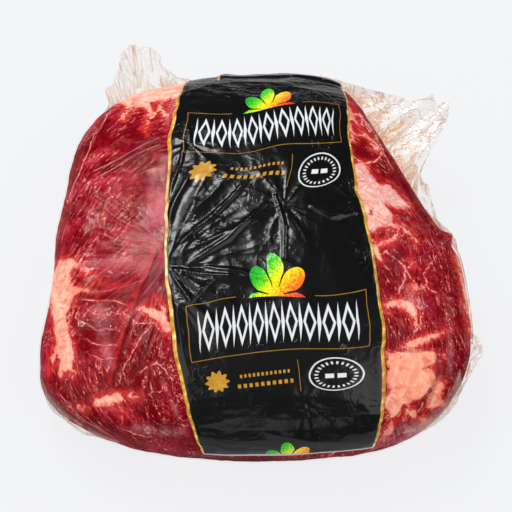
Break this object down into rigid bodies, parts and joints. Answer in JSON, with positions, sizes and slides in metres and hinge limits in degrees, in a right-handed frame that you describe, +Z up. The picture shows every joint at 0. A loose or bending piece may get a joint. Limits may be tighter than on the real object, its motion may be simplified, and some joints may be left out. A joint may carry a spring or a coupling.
{
  "type": "packed point end brisket",
  "caption": "Boneless point end beef brisket, shrink-packed in a clear bag with a dark printed panel over the top and gathered film ends.",
  "frame": {"origin": "middle of the flat underside, on the surface that the pack lies on", "axes": "+Z up; -Y is the front, where the panel's plain end is; +X runs to the right seen from the front"},
  "size_m": [0.3167, 0.3358, 0.0923],
  "materials": {
    "meat_in_film": "red beef with pale fat under tight clear glossy shrink film",
    "printed_film": "black printed film with thin gold edges, glossy and finely wrinkled"
  },
  "bodies": {
    "root": {"sealed_pack": "meat_in_film", "printed_panel": "printed_film"}
  },
  "joints": []
}
